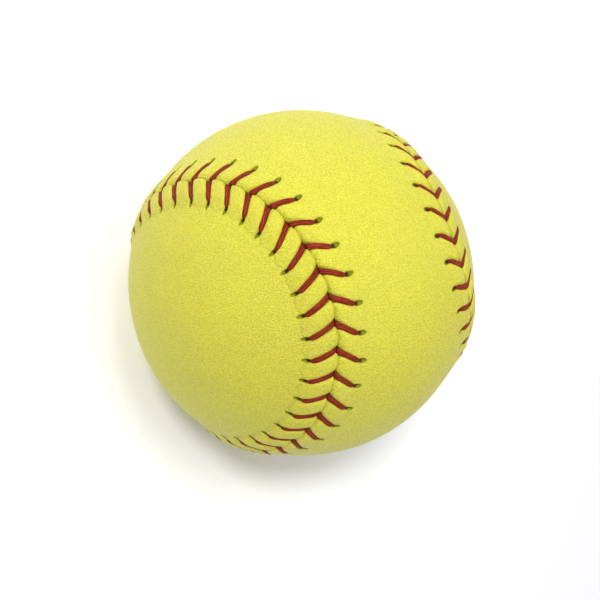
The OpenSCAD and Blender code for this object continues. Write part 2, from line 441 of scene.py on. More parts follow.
class Sheet:
    """Adds nodes to one node tree and links them."""

    def __init__(self, tree: bpy.types.NodeTree) -> None:
        """Keeps the tree that the nodes go to."""
        self.tree = tree

    def add(self, kind: str, inputs: dict | None = None, **settings: object) -> bpy.types.Node:
        """Adds a node, sets its options and fills or links its inputs.

        Args:
            kind: The node's type.
            inputs: Values or output sockets, by input name or number.
            **settings: Options of the node.

        Returns:
            The node.
        """
        node = self.tree.nodes.new(kind)
        for name, value in settings.items():
            setattr(node, name, value)
        for key, value in (inputs or {}).items():
            self.fill(node, key, value)
        return node

    def fill(self, node: bpy.types.Node, key: str | int, value: object) -> None:
        """Fills an input of a node with a value, or links it to an output socket.

        Args:
            node: The node.
            key: Name or number of its input.
            value: A value or an output socket.
        """
        if isinstance(value, Socket):
            self.tree.links.new(value, node.inputs[key])
        else:
            node.inputs[key].default_value = value

    def math(self, operation: str, a: object, b: object = 0.0, c: object = 0.0) -> Socket:
        """One arithmetic step on numbers."""
        return self.add("ShaderNodeMath", {0: a, 1: b, 2: c}, operation=operation).outputs[0]

    def times(self, a: object, b: object) -> Socket:
        """A number times another."""
        return self.math("MULTIPLY", a, b)

    def times_plus(self, a: object, b: object, c: object) -> Socket:
        """A number times another, plus a third."""
        return self.math("MULTIPLY_ADD", a, b, c)

    def ramp(self, value: object, limits: Limits, start: float = 0.0, end: float = 1.0) -> Socket:
        """A smooth step of a value between two limits.

        Args:
            value: What it follows.
            limits: Where the step begins and ends.
            start: The result up to the first limit.
            end: The result from the second limit.

        Returns:
            The result.
        """
        return self.add("ShaderNodeMapRange", {
            "Value": value, "From Min": limits[0], "From Max": limits[1],
            "To Min": start, "To Max": end}, interpolation_type="SMOOTHSTEP").outputs[0]

    def fall(self, value: object, limits: Limits, start: float = 1.0) -> Socket:
        """A smooth step of a value down to 0 between two limits."""
        return self.ramp(value, limits, start, 0.0)

    def mix(self, share: object, a: object, b: object) -> Socket:
        """A mix of two colours, by the share of the second."""
        values = {0: share, MIX_BELOW: a, MIX_ABOVE: b}
        return self.add("ShaderNodeMix", values, data_type="RGBA").outputs[MIX_COLOUR]

    def veil(self, below: object, above: object, mask: Socket, share: float) -> Socket:
        """One colour laid over another, by a share of a mask."""
        return self.mix(self.times(mask, share), below, above)

    def scale(self, vector: object, by: object) -> Socket:
        """A vector times a number."""
        values = {0: vector, "Scale": by}
        return self.add("ShaderNodeVectorMath", values, operation="SCALE").outputs[0]

    def combine(self, x: object, y: object, z: object) -> Socket:
        """Three numbers as a vector."""
        return self.add("ShaderNodeCombineXYZ", {0: x, 1: y, 2: z}).outputs[0]

    def millimetres(self) -> Socket:
        """Places on the object, in millimetres."""
        return self.scale(self.add("ShaderNodeTexCoord").outputs["Object"], 1 / MM)

    def in_sizes(self, size: Socket) -> Socket:
        """Places on the object, counted in sizes of so many millimetres."""
        return self.scale(self.millimetres(), self.math("DIVIDE", 1.0, size))

    def seam_map(self) -> tuple[Socket, Socket]:
        """The two values of the piece's own map, which follows the seam.

        Returns:
            Column and distance on the leather, or the way along and round the thread.
        """
        flat = self.add("ShaderNodeUVMap", uv_map=SEAM_MAP).outputs[0]
        split = self.add("ShaderNodeSeparateXYZ", {0: flat})
        return split.outputs[0], split.outputs[1]

    def noise(self, vector: object, size: float, detail: float = 2.0,
              rough: float = 0.5, bend: float = 0.0) -> Socket:
        """Cloudy noise.

        Args:
            vector: Where it is read.
            size: About the size of a lump.
            detail: Number of finer layers.
            rough: Share of each finer layer.
            bend: How far it bends itself.

        Returns:
            Values round a half.
        """
        return self.add("ShaderNodeTexNoise", {
            "Vector": vector, "Scale": 1.0 / size, "Detail": detail, "Roughness": rough,
            "Distortion": bend}).outputs["Fac"]

    def bump(self, height: Socket, depth: float, strength: float = 1.0,
             under: Socket | None = None) -> Socket:
        """A normal that follows heights.

        Args:
            height: The heights, as shares of the depth.
            depth: Depth in millimetres.
            strength: How strongly it shows.
            under: A normal that it lies on.

        Returns:
            The normal.
        """
        node = self.add("ShaderNodeBump", {"Strength": strength, "Distance": depth * MM, "Height": height})
        if under is not None:
            self.fill(node, "Normal", under)
        return node.outputs[0]


def new_group(name: str, inputs: dict[str, float],
              outputs: tuple[str, ...]) -> tuple[bpy.types.NodeTree, Sheet, bpy.types.Node]:
    """Makes an empty node group with named sockets for numbers.

    Args:
        name: The group's name.
        inputs: For each input, its standing value.
        outputs: The outputs.

    Returns:
        The group, a sheet on it, and its input node.
    """
    kind = "NodeSocketFloat"
    group = bpy.data.node_groups.new(name, "ShaderNodeTree")
    for label, value in inputs.items():
        group.interface.new_socket(label, in_out="INPUT", socket_type=kind).default_value = value
    for label in outputs:
        group.interface.new_socket(label, in_out="OUTPUT", socket_type=kind)
    sheet = Sheet(group)
    return group, sheet, sheet.add("NodeGroupInput")


@dataclass(frozen=True)
class Blotches:
    """Cloudy variation from 0 to 1 over a piece, coarse clouds with finer ones in them."""

    usual_size: float = 10.0
    detail: float = 4.0
    rough: float = 0.55
    contrast: Limits = (0.3, 0.7)

    def build(self) -> bpy.types.NodeTree:
        """Makes the node group, whose input is the size of a cloud.

        Returns:
            The group.
        """
        group, s, start = new_group("blotches", {"Size": self.usual_size}, ("Value",))
        cloud = s.noise(s.in_sizes(start.outputs["Size"]), 1.0, self.detail, self.rough)
        s.add("NodeGroupOutput", {"Value": s.ramp(cloud, self.contrast)})
        return group


@dataclass(frozen=True)
class Pebbles:
    """Grain of leather or skin: rounded cells bent by noise, with finer noise on them."""

    usual_size: float = 0.5
    bend_rate: float = 0.7
    bend: float = 0.9
    softness: float = 0.6
    dome: Limits = (0.15, 0.75)
    dome_share: float = 0.5
    fine_size: float = 0.42
    fine_share: float = 0.5
    valley: Limits = (0.3, 0.62)

    def build(self) -> bpy.types.NodeTree:
        """Makes the node group, whose inputs are the size of a cell and its stretch.

        Returns:
            The group.
        """
        group, s, start = new_group(
            "pebbles", {"Size": self.usual_size, "Stretch": 1.0}, ("Height", "Valley"))
        place = s.in_sizes(start.outputs["Size"])
        lumps = s.add("ShaderNodeTexNoise", {
            "Vector": place, "Scale": self.bend_rate, "Detail": 1.0})
        bent = s.add("ShaderNodeVectorMath", {
            0: lumps.outputs["Color"], 1: (self.bend,) * 3, 2: place}, operation="MULTIPLY_ADD")
        drawn = s.add("ShaderNodeVectorMath", {
            0: bent.outputs[0], 1: s.combine(1.0, start.outputs["Stretch"], 1.0)},
            operation="MULTIPLY").outputs[0]
        cells = s.add("ShaderNodeTexVoronoi", {
            "Vector": drawn, "Scale": 1.0, "Smoothness": self.softness}, feature="SMOOTH_F1")
        dome = s.times(s.fall(cells.outputs["Distance"], self.dome), self.dome_share)
        height = s.times_plus(s.noise(drawn, self.fine_size), self.fine_share, dome)
        s.add("NodeGroupOutput", {"Height": height, "Valley": s.fall(height, self.valley)})
        return group


@dataclass(frozen=True)
class StitchMarks:
    """Masks that follow the seam, from the map of columns and distances.

    Each pair of limits is where a smooth step begins and ends: in millimetres, for the
    hole and its rim in shares of the hole's outline, and for the broken fold in values of
    noise.
    """

    plan: StitchPlan
    welt: Welt
    hole_edge: Limits = (0.82, 1.12)
    rim_rise: Limits = (0.62, 0.92)
    rim_fall: Limits = (0.95, 1.2)
    outward: Limits = (-0.25, 0.5)
    outer_face: Limits = (-0.4, 0.1)
    edge_wall: Limits = (-0.6, -0.1)
    crease: Limits = (0.0, 0.3)
    groove_side: Limits = (0.6, 1.15)
    groove_end: Limits = (5.6, 6.6)
    near_rise: Limits = (0.0, 0.5)
    near_fall: Limits = (1.2, 5.6)
    ripple_width: float = 0.42
    ripple_rate: float = 0.45
    ripple_bend: float = 0.4
    fold_at: float = 7.5
    fold_sway: float = 0.35
    fold_wander: float = 1.6
    wander_size: float = 1.1
    fold_soft: Limits = (0.0, 0.8)
    fold_sharp: Limits = (0.05, 0.3)
    fold_half: float = 0.5
    fold_side: Limits = (0.4, 0.9)
    fold_broken: Limits = (0.3, 0.6)
    fold_least: float = 0.35

    def fold(self, s: Sheet, q: Socket, d: Socket, off_leg: Socket, ripple: Socket) -> Socket:
        """The broken fold line from hole to hole: a soft line and a sharp one along
        distance + sway cos(2 pi q) + wander noise = fold_at.

        Args:
            s: The group's sheet.
            q: Columns, counted in stitches.
            d: Distances from the panel's edge.
            off_leg: Distances from the middle of the nearest leg.
            ripple: Noise that breaks the line.

        Returns:
            The mask.
        """
        sway = s.times_plus(s.math("COSINE", s.times(q, 2 * np.pi)), self.fold_sway, d)
        sway = s.times_plus(s.noise(s.millimetres(), self.wander_size), self.fold_wander, sway)
        off = s.math("ABSOLUTE", s.math("SUBTRACT", sway, self.fold_at))
        lines = (s.fall(off, limits, self.fold_half) for limits in (self.fold_soft, self.fold_sharp))
        broken = s.ramp(ripple, self.fold_broken, self.fold_least)
        return s.times(s.math("ADD", *lines), s.times(s.ramp(off_leg, self.fold_side), broken))

    def build(self) -> bpy.types.NodeTree:
        """Makes the node group.

        Its masks are the hole, its rim and the way across it, the groove beside a leg, the
        crease at the panel's edge, the fold from hole to hole, the raw edge, and fine
        creases square to the seam with the band that they lie in.

        Returns:
            The group.
        """
        group, s, _ = new_group("stitch_marks", {}, (
            "Hole", "Rim", "Outward", "Groove", "Crease", "Fold", "Edge Wall", "Wrinkle", "Near Seam"))
        pitch, welt = self.plan.seam.pitch, self.welt
        q, d = s.seam_map()
        part = s.math("FRACT", s.math("ADD", q, 0.5))
        beside = s.times(s.math("SUBTRACT", part, 0.5), pitch)
        off_leg = s.math("ABSOLUTE", beside)
        ahead = s.math("SUBTRACT", d, welt.hole_at)
        x = s.math("DIVIDE", beside, welt.hole_half_wide)
        y = s.math("DIVIDE", ahead, welt.hole_half_long)
        share = s.math("SQRT", s.times_plus(x, x, s.times(y, y)))
        outside = s.ramp(d, self.outer_face)
        rim = s.times(s.ramp(share, self.rim_rise), s.fall(share, self.rim_fall))
        groove = s.times(s.fall(off_leg, self.groove_side), s.fall(d, self.groove_end))
        along = s.combine(s.times(q, pitch / self.ripple_width), s.times(d, self.ripple_rate), 0.0)
        ripple = s.noise(along, 1.0, bend=self.ripple_bend)
        s.add("NodeGroupOutput", {
            "Hole": s.times(s.fall(share, self.hole_edge), outside),
            "Rim": s.times(rim, outside),
            "Outward": s.ramp(ahead, self.outward),
            "Groove": s.times(groove, outside),
            "Crease": s.fall(d, self.crease),
            "Fold": self.fold(s, q, d, off_leg, ripple),
            "Edge Wall": s.fall(d, self.edge_wall),
            "Wrinkle": ripple,
            "Near Seam": s.times(s.ramp(d, self.near_rise), s.fall(d, self.near_fall)),
        })
        return group


class Effects:
    """Effects that several finishes share, each built once as a node group."""

    def __init__(self, plan: StitchPlan, welt: Welt) -> None:
        """Builds every group.

        Args:
            plan: Where the stitches lie.
            welt: The sizes of a stitch hole.
        """
        self.blotches = Blotches().build()
        self.pebbles = Pebbles().build()
        self.stitch_marks = StitchMarks(plan, welt).build()

    @staticmethod
    def place(sheet: Sheet, group: bpy.types.NodeTree, **values: float) -> bpy.types.Node:
        """Puts a group into a material, with its own values by input name."""
        return sheet.add("ShaderNodeGroup", values, node_tree=group)


def new_material(name: str, roughness: float,
                 specular: float) -> tuple[bpy.types.Material, Sheet, bpy.types.Node]:
    """Makes a material with an empty tree but for its surface shader and output.

    Args:
        name: The material's name.
        roughness: Roughness where nothing is linked to it.
        specular: Strength of the surface's reflection.

    Returns:
        The material, a sheet on its tree, and its surface shader.
    """
    material = bpy.data.materials.new(name)
    material.use_nodes = True
    material.node_tree.nodes.clear()
    sheet = Sheet(material.node_tree)
    shader = sheet.add("ShaderNodeBsdfPrincipled", {
        "Roughness": roughness, "Specular IOR Level": specular})
    sheet.add("ShaderNodeOutputMaterial", {"Surface": shader.outputs[0]})
    return material, sheet, shader


@dataclass(frozen=True)
class LeatherFinish:
    """Dyed leather: pebbled grain, creases by the seam and sewn holes, with painted shade in the grain's
    valleys, the grooves, the fold, the seam crease and the holes.

    A share is how strongly a tone or form shows, a size is in millimetres, and a depth is
    the height of a bump in millimetres.
    """

    name: str
    colour: Colour
    worn: Colour
    shade: Colour
    fold_share: float
    # Share of painted shade in the grain's valleys.
    valley_shade_share: float
    grain_depth: float
    # Painted shade in the stitch holes: the hole colour on each hole's rim and in the seam crease, the hole
    # floor colour deeper in, and the dark colour at the end by the thread, a reddish painted shadow.
    hole: Colour = linear(140, 140, 0)
    hole_floor_shade: Colour = linear(146, 146, 0)
    dark: Colour = linear(56, 14, 4)
    raw: Colour = linear(150, 132, 60)
    plain_roughness: float = 0.5
    specular: float = 0.5
    dome_roughness: float = 0.36
    valley_roughness: float = 0.2
    cloud_size: float = 16.0
    cloud_share: float = 0.6
    speck_size: float = 1.3
    speck_share: float = 0.07
    # Shares of painted shade in the groove under each leg, along the fold from hole to hole and in the crease
    # where the panels meet.
    groove_shade_share: float = 0.3
    fold_shade_tone: float = 0.3
    crease_shade_share: float = 0.3
    # Share of painted shade on each hole's rim.
    rim_shade_share: float = 0.8
    grain: float = 0.29
    stretch: float = 1.5
    drawn: float = 0.95
    drawn_stretch: float = 2.4
    drawn_share: float = 0.7
    drawn_valley_shade: float = 0.06
    wrinkle_depth: float = 0.16
    fold_depth: float = 0.14

    def tone(self, effects: Effects, s: Sheet, marks: bpy.types.Node,
             grain: bpy.types.Node, drawn: bpy.types.Node) -> Socket:
        """The colour: clouds of a worn tone, specks, and painted shade in the grain's valleys, the grooves,
        the fold, the seam crease and the holes.

        Args:
            effects: The shared effects.
            s: The material's sheet.
            marks: The masks that follow the seam.
            grain: The pebbled grain.
            drawn: The coarser grain, drawn out sideways.

        Returns:
            The colour.
        """
        clouds = effects.place(s, effects.blotches, Size=self.cloud_size)
        specks = effects.place(s, effects.blotches, Size=self.speck_size)
        tone = self.colour
        # Clouds and specks vary the tone at random; the grain's valleys, the grooves under the legs, the fold
        # and the seam crease get painted shade.
        for mask, share, over in (
            (clouds.outputs["Value"], self.cloud_share, self.worn),
            (grain.outputs["Valley"], self.valley_shade_share, self.shade),
            (drawn.outputs["Valley"], self.drawn_valley_shade, self.shade),
            (specks.outputs["Value"], self.speck_share, self.shade),
            (marks.outputs["Groove"], self.groove_shade_share, self.shade),
            (marks.outputs["Fold"], self.fold_shade_tone * self.fold_share, self.shade),
            (marks.outputs["Crease"], self.crease_shade_share, self.hole),
        ):
            tone = s.veil(tone, over, mask, share)
        # Painted shade in each hole: dark at the end by the thread, the hole floor colour further out, and a
        # darker rim on the hole's wall.
        pit = s.mix(marks.outputs["Outward"], self.dark, self.hole_floor_shade)
        pit = s.veil(pit, self.hole, marks.outputs["Rim"], self.rim_shade_share)
        tone = s.mix(marks.outputs["Hole"], tone, pit)
        return s.mix(marks.outputs["Edge Wall"], tone, self.raw)

    def build(self, effects: Effects) -> bpy.types.Material:
        """Makes the material.

        Args:
            effects: The shared effects.

        Returns:
            The material.
        """
        material, s, shader = new_material(self.name, self.plain_roughness, self.specular)
        marks = effects.place(s, effects.stitch_marks)
        grain = effects.place(s, effects.pebbles, Size=self.grain, Stretch=self.stretch)
        drawn = effects.place(s, effects.pebbles, Size=self.drawn, Stretch=self.drawn_stretch)
        s.fill(shader, "Base Color", self.tone(effects, s, marks, grain, drawn))
        rough = s.times_plus(grain.outputs["Valley"], self.valley_roughness, self.dome_roughness)
        s.fill(shader, "Roughness", s.math("MAXIMUM", rough, marks.outputs["Hole"]))
        creases = s.times(marks.outputs["Wrinkle"], marks.outputs["Near Seam"])
        fold_height = -self.fold_share * self.fold_depth / self.wrinkle_depth
        folds = s.math("ADD", creases, s.times(marks.outputs["Fold"], fold_height))
        both = s.times_plus(drawn.outputs["Height"], self.drawn_share, grain.outputs["Height"])
        folded = s.bump(folds, self.wrinkle_depth)
        s.fill(shader, "Normal", s.bump(both, self.grain_depth, under=folded))
        return material


@dataclass(frozen=True)
class ThreadFinish:
    """Waxed twisted thread: plies along it, with painted shade between the plies, where it dives into the
    seam and where it leaves its hole.

    The places along a leg are shares of its way from the hole to the seam.
    """

    colour: Colour
    light: Colour
    # The dark tone is painted shade between the plies and at both ends of a leg, and also the darker tone of
    # the random hairs.
    dark: Colour
    name: str = "waxed thread"
    roughness: float = 0.6
    specular: float = 0.12
    plies: float = 6.0
    twist: float = 0.9
    sway_size: float = 1.6
    ply_power: float = 0.6
    ply_gap: Limits = (0.25, 0.95)
    ply_gap_shade: float = 0.85
    hairs_along: float = 6.0
    hairs_round: float = 60.0
    hair_gap: Limits = (0.35, 0.62)
    hair_tone: float = 0.75
    hair_height: float = 0.35
    cloud_size: float = 2.2
    seam_end: Limits = (0.74, 0.92)
    seam_end_shade: float = 0.7
    hole_end: Limits = (0.06, 0.24)
    hole_end_shade: float = 0.8
    depth: float = 0.1

    def build(self, effects: Effects) -> bpy.types.Material:
        """Makes the material. A ply is |sin(2 pi (twist along + plies round + noise))|^power.

        Args:
            effects: The shared effects.

        Returns:
            The material.
        """
        material, s, shader = new_material(self.name, self.roughness, self.specular)
        along, round_it = s.seam_map()
        sway = s.noise(s.millimetres(), self.sway_size, 1.0)
        turn = s.times_plus(along, self.twist, s.times_plus(round_it, self.plies, sway))
        wave = s.math("ABSOLUTE", s.math("SINE", s.times(turn, 2 * np.pi)))
        ply = s.math("POWER", wave, self.ply_power)
        hairs = s.noise(s.combine(
            s.times(along, self.hairs_along), s.times(round_it, self.hairs_round), sway), 1.0)
        clouds = effects.place(s, effects.blotches, Size=self.cloud_size)
        tone = s.mix(clouds.outputs["Value"], self.colour, self.light)
        # Painted shade between the plies and at both ends of each leg; the hairs darken at random.
        for darker in (
            s.fall(ply, self.ply_gap, self.ply_gap_shade),
            s.fall(hairs, self.hair_gap, self.hair_tone),
            s.ramp(along, self.seam_end, 0.0, self.seam_end_shade),
            s.fall(along, self.hole_end, self.hole_end_shade),
        ):
            tone = s.mix(darker, tone, self.dark)
        s.fill(shader, "Base Color", tone)
        s.fill(shader, "Normal", s.bump(s.times_plus(hairs, self.hair_height, ply), self.depth))
        return material


@dataclass(frozen=True)
class LayerFinish:
    """A plain layer inside the ball: two tones, a grain and a sheen, the darker second tone lying in random
    clouds and as painted shade in the grain's valleys.
    """

    name: str
    colour: Colour
    other: Colour
    roughness: float
    grain: float
    depth: float
    stretch: float = 1.0
    specular: float = 0.3
    cloud_size: float = 6.0
    cloud_share: float = 0.4
    valley_shade_share: float = 0.6
    valley_roughness: float = 0.15
    strength: float = 0.8

    def build(self, effects: Effects) -> bpy.types.Material:
        """Makes the material.

        Args:
            effects: The shared effects.

        Returns:
            The material.
        """
        material, s, shader = new_material(self.name, self.roughness, self.specular)
        clouds = effects.place(s, effects.blotches, Size=self.cloud_size)
        grain = effects.place(s, effects.pebbles, Size=self.grain, Stretch=self.stretch)
        valley = grain.outputs["Valley"]
        # The second tone goes in as painted shade in the grain's valleys and in random clouds.
        share = s.times_plus(valley, self.valley_shade_share, s.times(clouds.outputs["Value"], self.cloud_share))
        s.fill(shader, "Base Color", s.mix(share, self.colour, self.other))
        s.fill(shader, "Roughness", s.times_plus(valley, self.valley_roughness, self.roughness))
        s.fill(shader, "Normal", s.bump(grain.outputs["Height"], self.depth, self.strength))
        return material


def make_object(name: str, points: np.ndarray, corners: list[np.ndarray],
                maps: list[np.ndarray]) -> bpy.types.Object:
    """Makes a smooth mesh object from points and faces.

    Args:
        name: The object's name.
        points: Points in millimetres.
        corners: Face arrays, one for quads and one for triangles.
        maps: For each face array, the two map values of each corner.

    Returns:
        The object, linked to the scene, with its place in its mesh.
    """
    mesh = bpy.data.meshes.new(name)
    sizes = np.concatenate([np.full(len(c), c.shape[1]) for c in corners])
    loops = np.concatenate([c.ravel() for c in corners])
    flat = np.concatenate([m.reshape(-1, 2) for m in maps])
    mesh.vertices.add(len(points))
    mesh.vertices.foreach_set("co", (points * MM).astype(np.float32).ravel())
    mesh.loops.add(len(loops))
    mesh.loops.foreach_set("vertex_index", loops.astype(np.int32))
    mesh.polygons.add(len(sizes))
    mesh.polygons.foreach_set("loop_start", (np.cumsum(sizes) - sizes).astype(np.int32))
    mesh.polygons.foreach_set("use_smooth", np.ones(len(sizes), bool))
    mesh.uv_layers.new(name=SEAM_MAP).data.foreach_set("uv", flat.astype(np.float32).ravel())
    mesh.update(calc_edges=True)
    mesh.validate()
    made = bpy.data.objects.new(name, mesh)
    bpy.context.scene.collection.objects.link(made)
    return made


def settle(made: bpy.types.Object, node: str) -> bpy.types.Object:
    """Lets a piece ride on the ball and stand for its solid.

    Args:
        made: The piece.
        node: The solid that it stands for.

    Returns:
        The piece.
    """
    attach(made, "root")
    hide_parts(node)
    return made


def gather(found: list[tuple[np.ndarray, np.ndarray]]) -> tuple[np.ndarray, np.ndarray]:
    """Corners found one after another, as faces and their map values."""
    return np.stack([f[0] for f in found], axis=1), np.stack([f[1] for f in found], axis=1)


@dataclass
class Rows:
    """Closed rows of points, each joined to the next, of one count or half or twice it.

    A point has two map values. The first grows by span over a whole row, and the second
    is the row's level.
    """

    span: float
    points: list[np.ndarray] = field(default_factory=list)
    columns: list[np.ndarray] = field(default_factory=list)
    levels: list[float] = field(default_factory=list)

    def add(self, points: np.ndarray, columns: np.ndarray, level: float) -> None:
        """Adds a row.

        Args:
            points: Its points.
            columns: The first map value of each.
            level: The second map value of all.
        """
        self.points.append(points)
        self.columns.append(columns)
        self.levels.append(level)

    @cached_property
    def starts(self) -> np.ndarray:
        """Number of the first point of each row."""
        return np.concatenate([[0], np.cumsum([len(p) for p in self.points])])

    def corner(self, row: int, column: np.ndarray) -> tuple[np.ndarray, np.ndarray]:
        """Point numbers of a row's columns, and their map values unrolled past the end.

        Args:
            row: The row.
            column: Column numbers, which may run past the row's end.

        Returns:
            Point numbers and map values.
        """
        count = len(self.points[row])
        lap, at = column // count, column % count
        across = self.columns[row][at] + lap * self.span
        level = np.full_like(across, self.levels[row])
        return self.starts[row] + at, np.stack([across, level], axis=-1)

    def band(self, row: int) -> tuple[np.ndarray, np.ndarray]:
        """Faces between a row and the next: quads, or three triangles for each pair of
        columns where one row has half the points of the other.

        Args:
            row: The first of the two rows.

        Returns:
            Faces as point numbers, and their corners' map values.
        """
        here, ahead = len(self.points[row]), len(self.points[row + 1])
        c = np.arange(min(here, ahead))
        if here == ahead:
            plan = [[(0, c), (0, c + 1), (1, c + 1), (1, c)]]
        elif here > ahead:
            plan = [
                [(0, 2 * c), (0, 2 * c + 1), (1, c)],
                [(0, 2 * c + 1), (1, c + 1), (1, c)],
                [(0, 2 * c + 1), (0, 2 * c + 2), (1, c + 1)],
            ]
        else:
            plan = [
                [(0, c), (1, 2 * c + 1), (1, 2 * c)],
                [(0, c), (0, c + 1), (1, 2 * c + 1)],
                [(0, c + 1), (1, 2 * c + 2), (1, 2 * c + 1)],
            ]
        found = [gather([self.corner(row + step, column) for step, column in face]) for face in plan]
        return np.concatenate([f[0] for f in found]), np.concatenate([f[1] for f in found])

    def zipper(self, row: int, fold: float, turn_over: bool) -> list[tuple[np.ndarray, np.ndarray]]:
        """Faces that close a row across its middle line, where columns face each other.

        Args:
            row: The row to close.
            fold: Map value of a column that lies on the middle line and faces itself.
            turn_over: Whether the faces point the other way.

        Returns:
            Triangles and quads, each with its corners' map values.
        """
        count = len(self.points[row])
        start = int(round(fold * count / self.span))
        c = start + np.arange(count // 2)
        other = 2 * start + count - c
        quad = [c, c + 1, other - 1, other]
        if turn_over:
            quad = quad[::-1]
        faces, maps = gather([self.corner(row, column % count) for column in quad])
        maps[..., 0] = maps[:, :1, 0]
        whole = (faces[:, 0] != faces[:, 3]) & (faces[:, 1] != faces[:, 2])
        out = [(faces[whole], maps[whole])]
        for face, corners in zip(faces[~whole], maps[~whole]):
            keep = [i for i in range(len(face)) if face[i] != face[i - 1]]
            out.append((face[keep][None], corners[keep][None]))
        return out


@dataclass
class CoverPanel:
    """One figure-eight leather panel, closed all round, with its raised sewn edge.

    A row is named by its distance from the edge, or past the band by its share of the way
    to the middle line, which is the great circle through both lobes.
    """

    plan: StitchPlan
    waves: Waves
    welt: Welt
    finish: LeatherFinish
    node: str
    slot: str = "leather"
    band_w: float = 12.0
    inner_r: float = 47.1
    tunnel_r: float = 47.75
    tunnel_w: float = 4.0
    slope_w: Limits = (7.6, 9.5)
    slope_head: float = 0.25
    slope_foot: float = 0.1
    middle_share: float = 0.72
    column_shares: tuple[float, ...] = (
        0.0, 0.04, 0.08, 0.115, 0.15, 0.19, 0.24, 0.30, 0.365, 0.43, 0.5)
    lip_rows: int = 6
    leg_rows: int = 11
    hole_rows: int = 14
    hole_band: Limits = (5.0, 7.6)
    shoulder: tuple[float, ...] = (7.9, 8.4, 9.1, 10.0, 11.0)
    belly_shares: tuple[float, ...] = (
        0.04, 0.09, 0.15, 0.22, 0.30, 0.38, 0.46, 0.54, 0.62, 0.70, 0.78, 0.85, 0.91, 0.955, 0.985)
    inner_shares: tuple[float, ...] = (0.93, 0.75, 0.5, 0.25)
    # Levels of the rows of the inner face, from its middle to the edge, and how much the
    # level grows on the outer face from the band to the middle line.
    raw_levels: tuple[float, float, float, float] = (-3.0, -2.5, -2.0, -1.0)
    belly_levels: float = 25.0

    @property
    def side(self) -> Side:
        """The side of the seam that the panel lies on."""
        return self.welt.side

    @property
    def fold_column(self) -> float:
        """The column at the tip of a lobe, which lies on the middle line."""
        return self.plan.seam.stitches / 4 if self.side is Side.A else 0.0

    def columns(self) -> np.ndarray:
        """Leaning columns round the panel, close together at each leg of thread.

        Returns:
            Columns, counted in stitches.
        """
        half = np.array(self.column_shares)
        one = np.concatenate([half, 1 - half[-2:0:-1]])
        return (np.arange(self.plan.seam.stitches)[:, None] + one[None]).ravel()

    def distances(self) -> np.ndarray:
        """Distances of the rows from the edge: round the lip, where they are width
        (1 - cos a), along the legs, close together across the holes, and over the shoulder.

        Returns:
            Distances in millimetres.
        """
        lip = self.welt.lip_w * (1 - np.cos(np.linspace(0, np.pi / 2, self.lip_rows)))
        legs = np.linspace(self.welt.lip_w, self.hole_band[0], self.leg_rows)[1:]
        holes = np.linspace(*self.hole_band, self.hole_rows)[1:]
        return np.concatenate([lip, legs, holes, self.shoulder, [self.band_w]])

    def row_directions(self, q: np.ndarray, d: float) -> np.ndarray:
        """Unit directions of a row, set back at the slots.

        Args:
            q: Columns, counted in stitches.
            d: The row's distance from the edge.

        Returns:
            Unit directions.
        """
        far = np.full_like(q, d)
        far = far + self.plan.slot(q, far, self.side)
        return self.plan.place(q, far, self.side, np.ones_like(q))

    def outer_row(self, q: np.ndarray, d: float) -> np.ndarray:
        """A row of the leather's outer face: ball radius + welt - lip + waves.

        Args:
            q: Columns, counted in stitches.
            d: The row's distance from the edge.

        Returns:
            Its points.
        """
        far, ball_r = np.full_like(q, d), self.plan.seam.ball_r
        height = self.welt.height(self.plan, q, far) - self.welt.lip(far)
        flat = self.row_directions(q, d)
        return flat * (ball_r + height + self.waves.at(flat, ball_r))[:, None]

    def swing(self, directions: np.ndarray) -> np.ndarray:
        """Angles of unit directions round the middle line, from the panel's neck."""
        x, y, z = np.moveaxis(directions, -1, 0)
        return np.arctan2(y, z) if self.side is Side.A else np.arctan2(x, -z)

    def middle_line(self, swing: np.ndarray) -> np.ndarray:
        """The middle line's directions: (0, sin a, cos a), or (sin a, 0, -cos a) on panel b."""
        zero, out, up = np.zeros_like(swing), np.sin(swing), np.cos(swing)
        return np.stack([zero, out, up] if self.side is Side.A else [out, zero, -up], axis=-1)

    def belly_directions(self, q: np.ndarray, share: float) -> np.ndarray:
        """Directions of a row that lies a share of the way from the band to the middle line.

        Near each lobe's tip the middle line is drawn in by the square of the way to the
        tip, so that the rows fan round it.

        Args:
            q: Columns, counted in stitches.
            share: 0 at the edge of the band and 1 on the middle line.

        Returns:
            Unit directions.
        """
        edge = self.row_directions(q, self.band_w)
        tip = self.row_directions(np.array([self.fold_column]), self.band_w)
        swing = self.swing(edge)
        drawn = (1 - self.middle_share) * (swing / self.swing(tip)) ** 2
        return unit((1 - share) * edge + share * self.middle_line(swing * (1 - drawn)))

    def rows(self) -> Rows:
        """All rows, from the middle line of the inner face round the edge to that of the
        outer face.

        Returns:
            The rows.
        """
        all_q, ball_r = self.columns(), self.plan.seam.ball_r
        half, quarter = all_q[::2], all_q[::4]
        deep, slope, tunnel, edge = self.raw_levels
        rows = Rows(float(self.plan.seam.stitches))
        for share in self.inner_shares:
            rows.add(self.belly_directions(quarter, share) * self.inner_r, quarter, deep)
        for q, d, radius, level in (
            (quarter, self.band_w, self.inner_r, deep),
            (quarter, self.slope_w[1], self.inner_r + self.slope_foot, deep),
            (half, self.slope_w[0], self.tunnel_r - self.slope_head, slope),
            (all_q, self.tunnel_w, self.tunnel_r, tunnel),
            (all_q, 0.0, self.tunnel_r, edge),
        ):
            rows.add(self.row_directions(q, d) * radius, q, level)
        for d in self.distances():
            rows.add(self.outer_row(all_q, d), all_q, d)
        for share in self.belly_shares:
            flat = self.belly_directions(half, share)
            rise = ball_r + self.waves.at(flat, ball_r)
            rows.add(flat * rise[:, None], half, self.band_w + self.belly_levels * share)
        return rows

    def dress(self, made: bpy.types.Object, effects: Effects) -> None:
        """Gives the panel its leather."""
        made.data.materials.append(self.finish.build(effects))

